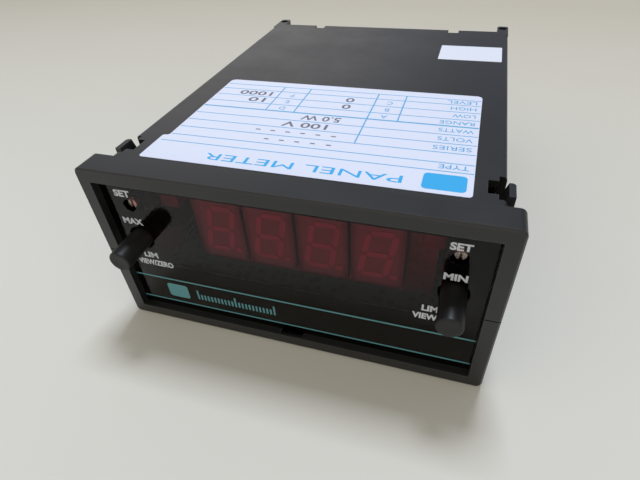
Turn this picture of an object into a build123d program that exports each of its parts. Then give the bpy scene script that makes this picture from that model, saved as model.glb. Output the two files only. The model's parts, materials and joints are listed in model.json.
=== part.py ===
from build123d import *
import os
from math import radians, tan

# Digital panel meter for a panel cut-out of 92 by 45 mm, with a four figure display and two alarms.
# X runs to the right as the display is read, Y from the front to the rear, and Z up.
# The pieces are made with Y zero at the bezel's front face and Z zero at its lower edge.

# Bezel and case
bezel_width = 96.0
bezel_height = 48.0
bezel_depth = 7.5
bezel_rail = 3.4
bezel_side_flange = 3.3
bezel_top_flange = 1.5
bezel_corner = 1.5
bezel_front_chamfer = 0.4
bezel_rear_chamfer = 0.7
case_length = 117.5
case_wall = 1.6
case_corner = 1.0

# Fits
seat_gap = 0.1
running_gap = 0.05
cutout_gap = 0.3

# Joint between the two shells
tongue_width = 0.6
tongue_height = 0.9
seam_line_height = 0.3
seam_line_depth = 0.4

# Window
window_recess = 2.0
window_thickness = 2.0
window_grip = 1.0
pry_slot_width = 6.0
pry_slot_height = 1.5
pry_lip = 0.4

# Snap fingers behind the bezel
finger_setback = 3.3
finger_slot_width = 8.5
finger_width = 4.9
finger_length = 16.0
finger_thickness = 1.1
finger_proud = 1.6
finger_tip_drop = 0.2
finger_tip_thickness = 1.3
finger_tooth_height = 3.2
finger_tooth_slope = 3.5
finger_tip_slope = 4.5
finger_lead = 0.5
relief_length = finger_width
relief_width = 2.2

# Rear edge, lugs and cover
lug_reach = 6.7
lug_width = 3.7
lug_hole_diameter = 2.8
lug_hole_edge = 2.6
lug_round = 1.0
pin_sink = 2.0
notch_inset = 19.0
notch_width = 3.7
notch_depth = 3.0
cover_thickness = 2.0
cover_inset = 5.5
cover_grip = 0.6
vent_width = 2.0
vent_height = 8.0
vent_pitch = 4.4
vent_count = 6
vent_lift = 1.0
vent_x = -30.0

# Boards and the guide slots that hold them, measured up and down from the shells' joint
board_thickness = 1.6
outer_slot_level = 15.0
inner_slot_level = 9.2
guide_width = 1.5
guide_thickness = 1.1
guide_front = 22.0
guide_rear_gap = 1.0
main_board_front = 12.0
alarm_board_front = 6.5
board_rear_gap = 3.0
alarm_arm_length = 14.5
display_board_side_gap = 0.8
display_board_top_gap = 0.9
board_rib_width = 2.0
board_rib_height = 2.0
board_rib_thickness = 1.3
board_rib_spread = 20.0

# Display
display_face = 10.3
figure_count = 4
figure_lift = 3.6
module_gap = 0.8
module_height = 19.0
module_depth = 8.0
figure_height = 14.2
figure_margin = 2.5
figure_slant = 10.0
segment_stroke = 1.4
segment_film = 0.15
segment_gap = 0.25
point_width = 1.7
point_sides = 8
lamp_size = 5.0
lamp_gap = 3.4
lamp_inset = 5.5
lamp_lift = 11.9
lamp_advance = 1.4
lamp_round = 0.4

# Buttons and their switches
control_inset = 6.8
button_diameter = 5.5
button_reach = 7.5
button_travel = 1.5
button_edge_chamfer = 0.5
button_hole_gap = 0.55
plunger_diameter = 3.2
plunger_insertion = 6.0
switch_width = 7.0
switch_height = 10.4
switch_length = 10.0
switch_front = 13.0
switch_bore_spare = 1.0

# Trimmers and their screws
trimmer_length = 19.0
trimmer_width = 4.8
trimmer_height = 6.0
trimmer_front = 5.6
trimmer_chamfer = 0.5
trimmer_screw_diameter = 2.4
trimmer_screw_hole_gap = 0.4
trimmer_screw_face = 3.0
trimmer_screw_head = 2.2
trimmer_shaft_diameter = 1.6
trimmer_shaft_length = 4.0
trimmer_slot_width = 0.6
trimmer_slot_depth = 0.8

# Power supply on the main board
core_width = 30.0
core_stack = 12.0
core_height = 20.0
core_limb = 5.0
coil_length = 25.0
coil_round = 0.8
transformer_edge_gap = 3.1
transformer_rear_gap = 24.0
transformer_lift = 1.0
bobbin_foot = 2.0
coil_gap = 0.1
capacitor_diameter = 12.5
capacitor_height = 19.0
capacitor_count = 2
capacitor_gap = 2.5
capacitor_edge_gap = 6.85
capacitor_rear_gap = 49.0
sink_width = 20.0
sink_height = 18.0
sink_depth = 9.0
sink_wall = 1.5
sink_edge_gap = 9.1
sink_front_gap = 7.1
regulator_width = 10.0
regulator_height = 9.0
regulator_thickness = 4.4
regulator_lift = 5.0
regulator_lead_width = 0.9
regulator_lead_thickness = 0.5
fuse_diameter = 5.2
fuse_length = 20.0
fuse_lift = 2.0
fuse_cap = 5.0
fuse_edge_gap = 3.1
fuse_rear_gap = 16.0
clip_width = 3.0
clip_wall = 0.6

# Chips
chip_thickness = 3.6
chip_lift = 0.8
chip_notch = 1.6
lead_pitch = 2.54
lead_width = 0.5
lead_thickness = 0.3
converter_chip_width = 13.8
converter_chip_lead_count = 20
converter_chip_x = 12.0
converter_chip_y = 56.0
small_chip_width = 6.6
logic_chip_lead_count = 8
logic_chip_edge_gap = 7.8
logic_chip_y = 50.0
comparator_chip_lead_count = 4
comparator_chip_x = 0.0
comparator_chip_y = 34.0

# Relays under the alarm board
relay_length = 19.2
relay_width = 15.4
relay_height = 15.2
relay_count = 2
relay_gap = 2.0
relay_edge_gap = 3.0
relay_rear_gap = 24.0
relay_round = 0.8

# Links between the boards
link_body = 2.5
link_pin = 0.64
display_link_pin_count = 14
alarm_link_pin_count = 10
alarm_link_edge_gap = 4.1
alarm_link_y = 45.0

# Rear terminals
terminal_pitch = 5.08
signal_way_count = 10
relay_way_count = 6
relay_terminal_gap = 4.46
header_sink = 9.0
header_depth = 12.0
header_height = 10.0
header_wall = 1.2
header_back_wall = 3.0
plug_overhang = 10.0
wire_entry_width = 3.2
wire_entry_height = 3.6
wire_entry_depth = 6.0
wire_entry_lift = 0.8
screw_hole_diameter = 3.1
screw_hole_depth = 2.0

# Sizes and places that follow from those above
case_width = bezel_width - 2 * bezel_side_flange
case_height = bezel_height - 2 * bezel_top_flange
mid_z = bezel_height / 2
opening_half_width = bezel_width / 2 - bezel_rail
opening_half_height = bezel_height / 2 - bezel_rail
side_x = case_width / 2
top_z = mid_z + case_height / 2
inner_half_width = side_x - case_wall
inner_half_height = case_height / 2 - case_wall
inner_top = mid_z + inner_half_height
window_rear = window_recess + window_thickness
cover_front = case_length - cover_inset
cover_rear = cover_front + cover_thickness
rear_end = case_length + lug_reach
notch_x = side_x - notch_inset
guide_rear = cover_front - guide_rear_gap
board_rear = cover_front - board_rear_gap
control_spread = opening_half_width - control_inset
lamp_spread = control_spread - lamp_inset
lamp_level = mid_z + lamp_lift
module_pitch = (2 * (lamp_spread - lamp_size / 2 - lamp_gap) + module_gap) / figure_count
module_width = module_pitch - module_gap
figure_width = module_width - 2 * figure_margin
figure_level = mid_z + figure_lift
main_board_top = mid_z - outer_slot_level
main_board_bottom = main_board_top - board_thickness
alarm_board_bottom = mid_z + inner_slot_level
alarm_board_top = alarm_board_bottom + board_thickness
alarm_arm_rear = alarm_board_front + alarm_arm_length
board_half_width = inner_half_width - seat_gap
display_board_front = display_face + module_depth
display_board_rear = display_board_front + board_thickness
display_board_top = inner_top - display_board_top_gap
display_board_half_width = control_spread - switch_width / 2 - display_board_side_gap
button_level = alarm_board_bottom - switch_height / 2
trimmer_level = alarm_board_top + trimmer_height / 2
button_hole = button_diameter + 2 * button_hole_gap
trimmer_hole = trimmer_screw_diameter + 2 * trimmer_screw_hole_gap
lug_hole_y = rear_end - lug_hole_edge
transformer_x = transformer_edge_gap + core_width / 2 - inner_half_width
transformer_y = cover_front - transformer_rear_gap
first_capacitor_x = capacitor_edge_gap + capacitor_diameter / 2 - inner_half_width
capacitor_y = cover_front - capacitor_rear_gap
sink_x = sink_edge_gap + sink_width / 2 - inner_half_width
sink_y = display_board_rear + sink_front_gap
fuse_x = inner_half_width - fuse_edge_gap - fuse_length / 2
fuse_y = cover_front - fuse_rear_gap
logic_chip_x = inner_half_width - logic_chip_edge_gap - small_chip_width / 2
first_relay_x = inner_half_width - relay_edge_gap - relay_width / 2
relay_y = cover_front - relay_rear_gap
alarm_link_x = alarm_link_edge_gap - inner_half_width
header_front = cover_front - header_sink
header_mouth = header_front + header_depth
relay_header_half_width = relay_way_count * terminal_pitch / 2 + seat_gap + header_wall
relay_terminal_x = side_x - lug_width - relay_terminal_gap - relay_header_half_width
plug_rear = header_mouth + plug_overhang
signal_header_z = (main_board_top, main_board_top + header_height)
relay_header_z = (alarm_board_bottom - header_height, alarm_board_bottom)
arm_inner = lamp_spread + lamp_size / 2 + cutout_gap
arm_outer = board_half_width - cutout_gap
whole_middle = (plug_rear - button_reach) / 2

# How far a cutting or joining shape runs past the face it meets
past = 1.0


def block(x_range, y_range, z_range):
    """A box between two limits along each axis."""
    limits = (x_range, y_range, z_range)
    size = [high - low for low, high in limits]
    centre = [(high + low) / 2 for low, high in limits]
    return Pos(*centre) * Box(*size)


def along_y(profile, y_start, y_end):
    """A profile drawn in X and Z, carried along Y."""
    return extrude(Plane.XZ.offset(-y_start) * profile, amount=y_end - y_start, dir=(0, 1, 0))


def along_z(profile, z_start, z_end):
    """A profile drawn in X and Y, carried upwards."""
    return extrude(Plane.XY.offset(z_start) * profile, amount=z_end - z_start, dir=(0, 0, 1))


def rod_y(diameter, x, z, y_start, y_end):
    """A round bar along Y."""
    return along_y(Pos(x, z) * Circle(diameter / 2), y_start, y_end)


def rod_z(diameter, x, y, z_start, z_end):
    """A round bar along Z."""
    return along_z(Pos(x, y) * Circle(diameter / 2), z_start, z_end)


def centred_rectangle(half_width, half_height):
    """A rectangle drawn in X and Z round the middle of the case."""
    return Pos(0, mid_z) * Rectangle(2 * half_width, 2 * half_height)


def save(name, *pieces):
    """Write a piece, or a group of like pieces, with the origin under the middle of the whole meter."""
    moved = [Pos(0, -whole_middle, 0) * piece for piece in pieces]
    export_step(moved[0] if len(moved) == 1 else Compound(children=moved), f"parts/{name}.step")


# Case shells


def rounded_bezel():
    """The bezel's solid block, with round corners and its front and rear edges broken."""
    outline = Pos(0, mid_z) * RectangleRounded(bezel_width, bezel_height, bezel_corner)
    body = along_y(outline, 0, bezel_depth)
    body = chamfer(body.faces().sort_by(Axis.Y)[0].edges(), bezel_front_chamfer)
    return chamfer(body.faces().sort_by(Axis.Y)[-1].edges(), bezel_rear_chamfer)


def rear_lug(side):
    """The thick end of a side wall behind the cover, with the hole for the pin that joins the shells."""
    x_range = sorted((side * (side_x - lug_width), side * side_x))
    lug = block(x_range, (cover_rear + seat_gap, rear_end), (mid_z - case_height / 2, top_z))
    lug = fillet(lug.edges().filter_by(Axis.Z).group_by(Axis.Y)[-1], lug_round)
    pin_x = side * (side_x - lug_width / 2)
    return lug - rod_z(lug_hole_diameter, pin_x, lug_hole_y, -past, bezel_height + past)


def case_cavity():
    """All that is hollow in the closed case: front opening, window groove, inside and cover groove."""
    opening = along_y(centred_rectangle(opening_half_width, opening_half_height), -past, window_recess)
    grip = window_grip + seat_gap
    groove = centred_rectangle(opening_half_width + grip, opening_half_height + grip)
    window_groove = along_y(groove, window_recess, window_rear + seat_gap)
    inside = along_y(centred_rectangle(inner_half_width, inner_half_height), window_rear, rear_end + past)
    grip = cover_grip + seat_gap
    groove = centred_rectangle(inner_half_width + grip, inner_half_height + grip)
    cover_groove = along_y(groove, cover_front, cover_rear + seat_gap)
    return opening + window_groove + inside + cover_groove


def snap_finger(side):
    """A springy finger in its slot, with a tooth that stands out past the side wall near its tip."""
    root_z = top_z - finger_length
    tip_z = top_z - finger_tip_drop
    root_x = side_x - case_wall / 2
    half = finger_thickness / 2
    outer = side_x + finger_proud
    tooth_z = tip_z - finger_tooth_height
    profile = Polygon(
        (root_x - half, root_z - past),
        (root_x + half, root_z - past),
        (root_x + half, tooth_z - finger_tooth_slope),
        (outer, tooth_z),
        (outer, tip_z),
        (outer - finger_tip_thickness, tip_z),
        (root_x - half, tip_z - finger_tip_slope),
        align=None,
    )
    middle = bezel_depth + finger_setback + finger_slot_width / 2
    front = middle - finger_width / 2
    rear = middle + finger_width / 2
    finger = along_y(profile, front, rear)
    lead_in = Polygon(
        (outer - finger_lead, rear + past),
        (outer - finger_lead, rear),
        (outer, rear - finger_lead),
        (outer + past, rear - finger_lead),
        (outer + past, rear + past),
        align=None,
    )
    finger -= along_z(lead_in, root_z, top_z)
    return finger if side > 0 else mirror(finger, Plane.YZ)


def finger_slot(side):
    """The T-shaped slot round a snap finger: open to the side, with a relief in the top wall beside it."""
    front = bezel_depth + finger_setback
    middle = front + finger_slot_width / 2
    inner = side_x - case_wall
    slot_z = (top_z - finger_length, top_z + past)
    slot = block((inner - seat_gap, side_x + past), (front, front + finger_slot_width), slot_z)
    slot += block(
        (inner - relief_width, inner + past),
        (middle - relief_length / 2, middle + relief_length / 2),
        (inner_top - past, top_z + past),
    )
    return slot if side > 0 else mirror(slot, Plane.YZ)


def board_guides(side):
    """Two guide slots for board edges along one side wall, each between two ribs."""
    wall_x = side * inner_half_width
    x_range = sorted((wall_x + side * case_wall / 2, wall_x - side * guide_width))
    ribs = []
    for level in (inner_slot_level, outer_slot_level):
        low = mid_z + level - seat_gap
        high = mid_z + level + board_thickness + seat_gap
        for z_range in ((low - guide_thickness, low), (high, high + guide_thickness)):
            ribs.append(block(x_range, (guide_front, guide_rear), z_range))
    return ribs


def display_ribs():
    """Short ribs on the inside of the top wall that hold the display board's edge."""
    z_range = (inner_top - board_rib_height, inner_top + case_wall / 2)
    front_rib = display_board_front - seat_gap - board_rib_thickness
    rear_rib = display_board_rear + seat_gap
    ribs = []
    for x in (-board_rib_spread, board_rib_spread):
        x_range = (x - board_rib_width / 2, x + board_rib_width / 2)
        for y in (front_rib, rear_rib):
            ribs.append(block(x_range, (y, y + board_rib_thickness), z_range))
    return ribs


def seam_line():
    """The shallow line where the halves meet, round the outside of the bezel and case."""
    z_range = (mid_z - seam_line_height / 2, mid_z + seam_line_height / 2)
    bezel_core = bezel_width / 2 - seam_line_depth
    case_core = side_x - seam_line_depth
    line = block((-bezel_width, bezel_width), (-past, rear_end + past), z_range)
    line -= block((-bezel_core, bezel_core), (seam_line_depth, bezel_depth - seam_line_depth), z_range)
    return line - block((-case_core, case_core), (seam_line_depth, rear_end - seam_line_depth), z_range)


def pry_slot():
    """The slot in the bezel's rail where a small blade lifts the window out."""
    half = pry_slot_width / 2
    ledge_z = mid_z + opening_half_height
    return block((-half, half), (pry_lip, window_rear), (ledge_z - past, ledge_z + pry_slot_height))


def upper_shell():
    """The upper half of the case and bezel. The lower half is the same moulding, turned over."""
    case_outline = Pos(0, mid_z) * RectangleRounded(case_width, case_height, case_corner)
    shell = rounded_bezel() + along_y(case_outline, bezel_depth - past, case_length)
    shell -= case_cavity()
    for side in (-1, 1):
        shell += rear_lug(side)
        shell -= finger_slot(side)
    shell -= seam_line()
    shell -= pry_slot()
    notch_y = (case_length - notch_depth, case_length + past)
    for x in (-notch_x, notch_x):
        shell -= block((x - notch_width / 2, x + notch_width / 2), notch_y, (inner_top - past, top_z + past))
    shell = shell & block((-bezel_width, bezel_width), (-past, rear_end + past), (mid_z, bezel_height + past))
    for side in (-1, 1):
        shell += snap_finger(side)
        shell += board_guides(side)
    shell += display_ribs()
    # Tongue on the left rim and groove in the right one, so that two equal mouldings close on each other
    rim_x = side_x - case_wall / 2
    half_tongue = tongue_width / 2
    tongue_z = (mid_z - tongue_height, mid_z + case_wall)
    shell += block((-rim_x - half_tongue, -rim_x + half_tongue), (guide_front, guide_rear), tongue_z)
    half_groove = half_tongue + seat_gap
    groove_y = (guide_front - seat_gap, guide_rear + seat_gap)
    groove_z = (mid_z - past, mid_z + tongue_height + seat_gap)
    return shell - block((rim_x - half_groove, rim_x + half_groove), groove_y, groove_z)


def turned_over(piece):
    """The same piece turned half a turn about the line along Y through the middle of the case."""
    return Pos(0, 0, mid_z) * Rot(0, 180, 0) * Pos(0, 0, -mid_z) * piece


def case_pin(side):
    """The steel pin pressed through both lugs on one side, sunk at each end."""
    x = side * (side_x - lug_width / 2)
    low = mid_z - case_height / 2 + pin_sink
    return rod_z(lug_hole_diameter - 2 * running_gap, x, lug_hole_y, low, top_z - pin_sink)


# Window and rear cover


def window():
    """The filter plate in its groove, with holes for the buttons and the adjusting screws."""
    outline = centred_rectangle(opening_half_width + window_grip, opening_half_height + window_grip)
    plate = along_y(outline, window_recess, window_rear)
    for x in (-control_spread, control_spread):
        plate -= rod_y(button_hole, x, button_level, 0, window_rear + past)
        plate -= rod_y(trimmer_hole, x, trimmer_level, 0, window_rear + past)
    return plate


def header_box(ways, x, z_range, gap):
    """The outside of a terminal header, larger by a gap all round where it passes the cover."""
    half = ways * terminal_pitch / 2 + seat_gap + header_wall + gap
    z_limits = (z_range[0] - gap, z_range[1] + gap)
    return block((x - half, x + half), (header_front, header_mouth), z_limits)


def rear_cover():
    """The plate that closes the rear, with cut-outs for both terminal headers and a row of vents."""
    outline = centred_rectangle(inner_half_width + cover_grip, inner_half_height + cover_grip)
    plate = along_y(outline, cover_front, cover_rear)
    plate -= header_box(signal_way_count, 0, signal_header_z, cutout_gap)
    plate -= header_box(relay_way_count, relay_terminal_x, relay_header_z, cutout_gap)
    vent_y = (cover_front - past, cover_rear + past)
    vent_z = (mid_z + vent_lift, mid_z + vent_lift + vent_height)
    for i in range(vent_count):
        x = vent_x + i * vent_pitch
        plate -= block((x - vent_width / 2, x + vent_width / 2), vent_y, vent_z)
    return plate


# Boards


def main_board():
    """The power and converter board in the lower shell's outer guide slots."""
    z_range = (main_board_bottom, main_board_top)
    return block((-board_half_width, board_half_width), (main_board_front, board_rear), z_range)


def alarm_board():
    """The alarm board in the upper shell's inner guide slots, with two arms beside the display."""
    z_range = (alarm_board_bottom, alarm_board_top)
    board = block((-board_half_width, board_half_width), (alarm_arm_rear, board_rear), z_range)
    for side in (-1, 1):
        x_range = sorted((side * arm_inner, side * arm_outer))
        board += block(x_range, (alarm_board_front, alarm_arm_rear + past), z_range)
    return board


def display_board():
    """The upright board behind the figures. It stands on the main board."""
    half = display_board_half_width
    y_range = (display_board_front, display_board_rear)
    return block((-half, half), y_range, (main_board_top, display_board_top))


# Display


def slanted(x, z):
    """A point of a figure, leaned over about the figure's middle."""
    return (x + z * tan(radians(figure_slant)), z)


def segment_outlines():
    """The seven bars of a figure about its middle, as pointed hexagons with their ends held apart."""
    half_wide = (figure_width - segment_stroke) / 2
    half_high = (figure_height - segment_stroke) / 2
    half = segment_stroke / 2
    bars = []
    for z in (-half_high, 0, half_high):
        end = half_wide - segment_gap
        points = [(-end, z), (-end + half, z + half), (end - half, z + half)]
        points += [(end, z), (end - half, z - half), (-end + half, z - half)]
        bars.append(points)
    for x in (-half_wide, half_wide):
        for low in (-half_high, 0):
            bottom = low + segment_gap
            top = low + half_high - segment_gap
            points = [(x, bottom), (x + half, bottom + half), (x + half, top - half)]
            points += [(x, top), (x - half, top - half), (x - half, bottom + half)]
            bars.append(points)
    return [Polygon(*[slanted(x, z) for x, z in points], align=None) for points in bars]


def segments(x):
    """The segment bars and the decimal point of one figure, which stand a film's thickness off its face."""
    shapes = segment_outlines()
    point_x, point_z = slanted(figure_width / 2 + segment_stroke, (point_width - figure_height) / 2)
    shapes.append(Pos(point_x, point_z) * RegularPolygon(point_width / 2, point_sides))
    front = display_face - segment_film
    return [along_y(Pos(x, figure_level) * shape, front, display_face) for shape in shapes]


def digit_module(x):
    """One display module's body."""
    half_wide = module_width / 2
    half_high = module_height / 2
    z_range = (figure_level - half_high, figure_level + half_high)
    return block((x - half_wide, x + half_wide), (display_face, display_board_front), z_range)


def alarm_lamp(side):
    """A square lamp that stands a little in front of the figures."""
    half = lamp_size / 2
    x = side * lamp_spread
    y_range = (display_face - lamp_advance, display_board_front)
    body = block((x - half, x + half), y_range, (lamp_level - half, lamp_level + half))
    return fillet(body.faces().sort_by(Axis.Y)[0].edges(), lamp_round)


# Buttons, switches and trimmers


def push_button(side):
    """A long button rod with its thinner plunger, which runs in the switch."""
    x = side * control_spread
    shoulder = switch_front - button_travel - cutout_gap
    rod = rod_y(button_diameter, x, button_level, -button_reach, shoulder)
    rod = chamfer(rod.faces().sort_by(Axis.Y)[0].edges(), button_edge_chamfer)
    return rod + rod_y(plunger_diameter, x, button_level, shoulder, switch_front + plunger_insertion)


def push_switch(side):
    """The switch body under the alarm board, with the bore that the plunger runs in."""
    x = side * control_spread
    half = switch_width / 2
    y_range = (switch_front, switch_front + switch_length)
    body = block((x - half, x + half), y_range, (alarm_board_bottom - switch_height, alarm_board_bottom))
    bore_end = switch_front + plunger_insertion + button_travel + switch_bore_spare
    bore = rod_y(plunger_diameter + 2 * running_gap, x, button_level, switch_front - past, bore_end)
    return body - bore


def trimmer(side):
    """A multi-turn trimmer lying on the alarm board's arm, with its screw end to the front."""
    x = side * control_spread
    half = trimmer_width / 2
    y_range = (trimmer_front, trimmer_front + trimmer_length)
    body = block((x - half, x + half), y_range, (alarm_board_top, alarm_board_top + trimmer_height))
    body = chamfer(body.edges().filter_by(Axis.Y).group_by(Axis.Z)[-1], trimmer_chamfer)
    bore = trimmer_shaft_diameter + 2 * running_gap
    bore_end = trimmer_front + trimmer_shaft_length + running_gap
    return body - rod_y(bore, x, trimmer_level, trimmer_front - past, bore_end)


def trimmer_screw(side):
    """A trimmer's slotted adjusting screw."""
    x = side * control_spread
    head_rear = trimmer_screw_face + trimmer_screw_head
    head = rod_y(trimmer_screw_diameter, x, trimmer_level, trimmer_screw_face, head_rear)
    slot_half = trimmer_slot_width / 2
    slot_y = (trimmer_screw_face - past, trimmer_screw_face + trimmer_slot_depth)
    slot_z = (trimmer_level - trimmer_screw_diameter, trimmer_level + trimmer_screw_diameter)
    head -= block((x - slot_half, x + slot_half), slot_y, slot_z)
    shaft_rear = trimmer_front + trimmer_shaft_length
    return head + rod_y(trimmer_shaft_diameter, x, trimmer_level, head_rear, shaft_rear)


# Power supply


def transformer_core():
    """The stack of iron sheets, with two windows for the coil."""
    z_range = (main_board_top + transformer_lift, main_board_top + transformer_lift + core_height)
    y_range = (transformer_y - core_stack / 2, transformer_y + core_stack / 2)
    core = block((transformer_x - core_width / 2, transformer_x + core_width / 2), y_range, z_range)
    for side in (-1, 1):
        inner = transformer_x + side * core_limb
        outer = transformer_x + side * (core_width / 2 - core_limb)
        window_z = (z_range[0] + core_limb, z_range[1] - core_limb)
        core -= block(sorted((inner, outer)), (y_range[0] - past, y_range[1] + past), window_z)
    return core


def transformer_coil():
    """The winding round the core's middle limb, on a bobbin that stands on the board."""
    half = core_width / 2 - core_limb - coil_gap
    low = main_board_top + transformer_lift + core_limb + coil_gap
    high = main_board_top + transformer_lift + core_height - core_limb - coil_gap
    y_range = (transformer_y - coil_length / 2, transformer_y + coil_length / 2)
    coil = block((transformer_x - half, transformer_x + half), y_range, (low, high))
    coil = fillet(coil.edges().filter_by(Axis.Z), coil_round)
    limb = core_limb + coil_gap
    limb_y = (transformer_y - core_stack / 2 - coil_gap, transformer_y + core_stack / 2 + coil_gap)
    coil -= block((transformer_x - limb, transformer_x + limb), limb_y, (low - past, high + past))
    foot_x = (transformer_x - half, transformer_x + half)
    for y in (y_range[0], y_range[1] - bobbin_foot):
        coil += block(foot_x, (y, y + bobbin_foot), (main_board_top, low + past))
    return coil


def capacitor(x):
    """A filter capacitor: a sleeved can standing on the main board."""
    return rod_z(capacitor_diameter, x, capacitor_y, main_board_top, main_board_top + capacitor_height)


def heat_sink():
    """A folded aluminium channel that stands on the main board behind the regulator."""
    half = sink_width / 2
    z_range = (main_board_top, main_board_top + sink_height)
    sink = block((sink_x - half, sink_x + half), (sink_y, sink_y + sink_depth), z_range)
    inner_x = (sink_x - half + sink_wall, sink_x + half - sink_wall)
    inner_y = (sink_y + sink_wall, sink_y + sink_depth + past)
    return sink - block(inner_x, inner_y, (z_range[0] - past, z_range[1] + past))


def regulator():
    """The voltage regulator against the heat sink, on its three leads."""
    low = main_board_top + regulator_lift
    half = regulator_width / 2
    y_range = (sink_y - regulator_thickness, sink_y)
    body = block((sink_x - half, sink_x + half), y_range, (low, low + regulator_height))
    middle_y = sink_y - regulator_thickness / 2
    lead_y = (middle_y - regulator_lead_thickness / 2, middle_y + regulator_lead_thickness / 2)
    for i in (-1, 0, 1):
        x = sink_x + i * lead_pitch
        lead_x = (x - regulator_lead_width / 2, x + regulator_lead_width / 2)
        body += block(lead_x, lead_y, (main_board_top, low + past))
    return body


def fuse():
    """The glass fuse with its two end caps, lying across the board in its clips."""
    z = main_board_top + fuse_lift + fuse_diameter / 2
    return Pos(fuse_x, fuse_y, z) * Rot(0, 90, 0) * Cylinder(fuse_diameter / 2, fuse_length)


def fuse_clips():
    """Two sprung clips that grip the fuse's caps."""
    clips = []
    z = main_board_top + fuse_lift + fuse_diameter / 2
    grip = fuse_diameter / 2 + running_gap
    y_range = (fuse_y - grip - clip_wall, fuse_y + grip + clip_wall)
    for side in (-1, 1):
        x = fuse_x + side * (fuse_length / 2 - fuse_cap / 2)
        clip = block((x - clip_width / 2, x + clip_width / 2), y_range, (main_board_top, z))
        clips.append(clip - Pos(x, fuse_y, z) * Rot(0, 90, 0) * Cylinder(grip, clip_width + past))
    return clips


# Chips, relays and links


def chip(x, y, z, width, leads):
    """A dual in-line chip lying along Y, with its end notch and two rows of leads."""
    half = leads * lead_pitch / 2
    low = z + chip_lift
    body = block((x - width / 2, x + width / 2), (y - half, y + half), (low, low + chip_thickness))
    body -= rod_z(chip_notch, x, y - half, low + chip_thickness / 2, low + chip_thickness + past)
    for side in (-1, 1):
        edge = x + side * width / 2
        x_range = sorted((edge - side * lead_width, edge + side * lead_thickness))
        for i in range(leads):
            lead_y = y + (i - (leads - 1) / 2) * lead_pitch
            y_range = (lead_y - lead_width / 2, lead_y + lead_width / 2)
            body += block(x_range, y_range, (z, low + chip_thickness / 2))
    return body


def relay(x):
    """A sealed relay hanging under the alarm board."""
    z_range = (alarm_board_bottom - relay_height, alarm_board_bottom)
    y_range = (relay_y - relay_length / 2, relay_y + relay_length / 2)
    body = block((x - relay_width / 2, x + relay_width / 2), y_range, z_range)
    return fillet(body.faces().sort_by(Axis.Z)[0].edges(), relay_round)


def display_link():
    """The angled pin strip that joins the display board to the main board."""
    half = display_link_pin_count * lead_pitch / 2
    strip_y = (display_board_rear, display_board_rear + link_body)
    return block((-half, half), strip_y, (main_board_top, main_board_top + link_body))


def alarm_link():
    """The tall pin strip between the main board and the alarm board."""
    half = alarm_link_pin_count * lead_pitch / 2
    x_range = (alarm_link_x - link_body / 2, alarm_link_x + link_body / 2)
    strip_z = (main_board_top, main_board_top + link_body)
    strip = block(x_range, (alarm_link_y - half, alarm_link_y + half), strip_z)
    for i in range(alarm_link_pin_count):
        y = alarm_link_y + (i - (alarm_link_pin_count - 1) / 2) * lead_pitch
        pin_x = (alarm_link_x - link_pin / 2, alarm_link_x + link_pin / 2)
        strip += block(pin_x, (y - link_pin / 2, y + link_pin / 2), (main_board_top, alarm_board_bottom))
    return strip


# Rear terminals


def terminal_header(ways, x, z_range):
    """The board's half of a plug-in terminal: a tray open to the rear."""
    tray = header_box(ways, x, z_range, 0)
    half = ways * terminal_pitch / 2 + seat_gap
    inside_y = (header_front + header_back_wall, header_mouth + past)
    inside_z = (z_range[0] + header_wall, z_range[1] - header_wall)
    return tray - block((x - half, x + half), inside_y, inside_z)


def terminal_plug(ways, x, z_range):
    """The wire's half of a plug-in terminal, with a wire entry and a screwdriver hole for each way."""
    half = ways * terminal_pitch / 2
    nose_z = (z_range[0] + header_wall + seat_gap, z_range[1] - header_wall - seat_gap)
    plug = block((x - half, x + half), (header_front + header_back_wall, header_mouth + past), nose_z)
    plug += block((x - half, x + half), (header_mouth, plug_rear), z_range)
    entry_y = (plug_rear - wire_entry_depth, plug_rear + past)
    entry_low = z_range[0] + wire_entry_lift
    screw_y = header_mouth + plug_overhang / 2
    screw_floor = z_range[1] - screw_hole_depth
    for i in range(ways):
        way_x = x + (i - (ways - 1) / 2) * terminal_pitch
        entry_x = (way_x - wire_entry_width / 2, way_x + wire_entry_width / 2)
        plug -= block(entry_x, entry_y, (entry_low, entry_low + wire_entry_height))
        plug -= rod_z(screw_hole_diameter, way_x, screw_y, screw_floor, z_range[1] + past)
    return plug


os.makedirs("parts", exist_ok=True)

upper = upper_shell()
save("upper_shell", upper)
save("lower_shell", turned_over(upper))
save("window", window())
save("rear_cover", rear_cover())
save("main_board", main_board())
save("alarm_board", alarm_board())
save("display_board", display_board())

for i in range(figure_count):
    x = (i - (figure_count - 1) / 2) * module_pitch
    save(f"digit_{i + 1}", digit_module(x))
    save(f"digit_segments_{i + 1}", *segments(x))

for name, side in (("left", -1), ("right", 1)):
    save(f"{name}_case_pin", case_pin(side))
    save(f"{name}_alarm_lamp", alarm_lamp(side))
    save(f"{name}_button", push_button(side))
    save(f"{name}_switch", push_switch(side))
    save(f"{name}_trimmer", trimmer(side))
    save(f"{name}_trimmer_screw", trimmer_screw(side))

save("transformer_core", transformer_core())
save("transformer_coil", transformer_coil())
for i in range(capacitor_count):
    x = first_capacitor_x + i * (capacitor_diameter + capacitor_gap)
    save(f"filter_capacitor_{i + 1}", capacitor(x))
save("heat_sink", heat_sink())
save("regulator", regulator())
save("fuse", fuse())
save("fuse_clips", *fuse_clips())

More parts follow.
